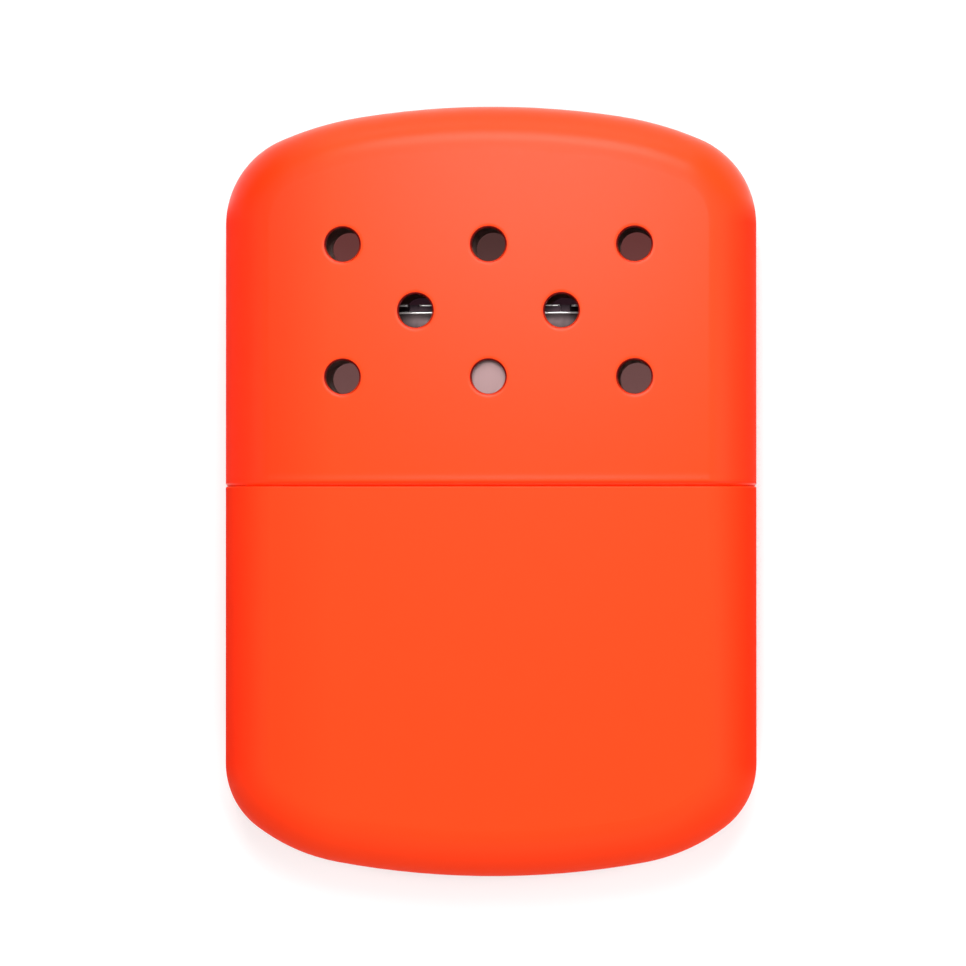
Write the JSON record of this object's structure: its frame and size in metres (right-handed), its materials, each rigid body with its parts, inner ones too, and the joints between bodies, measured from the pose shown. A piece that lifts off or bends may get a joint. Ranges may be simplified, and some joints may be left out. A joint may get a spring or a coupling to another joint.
{
  "type": "pocket hand warmer",
  "caption": "Flat pocket hand warmer: a round-edged painted metal tank and a vented cap that slides off a catalytic burner on the filler neck.",
  "frame": {"origin": "middle of the flat back, which the warmer lies on", "axes": "+X across the case, +Y along it from the tank end to the cap end, +Z out of the front face"},
  "size_m": [0.0684, 0.099, 0.0135],
  "materials": {
    "orange_paint": "satin",
    "plated_steel": "satin",
    "burner_steel": "satin",
    "glass_fibre": "matte",
    "cotton": "matte"
  },
  "bodies": {
    "tank": {"tank_shell": "orange_paint", "tank_collar": "plated_steel", "tank_deck": "plated_steel", "filler_neck": "plated_steel", "neck_wick": "cotton", "fuel_batt_front": "cotton", "fuel_batt_middle": "cotton", "fuel_batt_back": "cotton"},
    "burner": {"burner_skirt": "burner_steel", "burner_grille": "burner_steel", "catalyst_mat": "glass_fibre", "catalyst_screen": "burner_steel"},
    "cap": {"cap_shell": "orange_paint"}
  },
  "joints": [
    {"name": "cap_slide", "type": "slide", "parent": "tank", "child": "cap", "axis": [0, 1, 0], "range_m": [0, 0.045]},
    {"name": "burner_lift", "type": "slide", "parent": "tank", "child": "burner", "axis": [0, 1, 0], "range_m": [0, 0.015]}
  ]
}
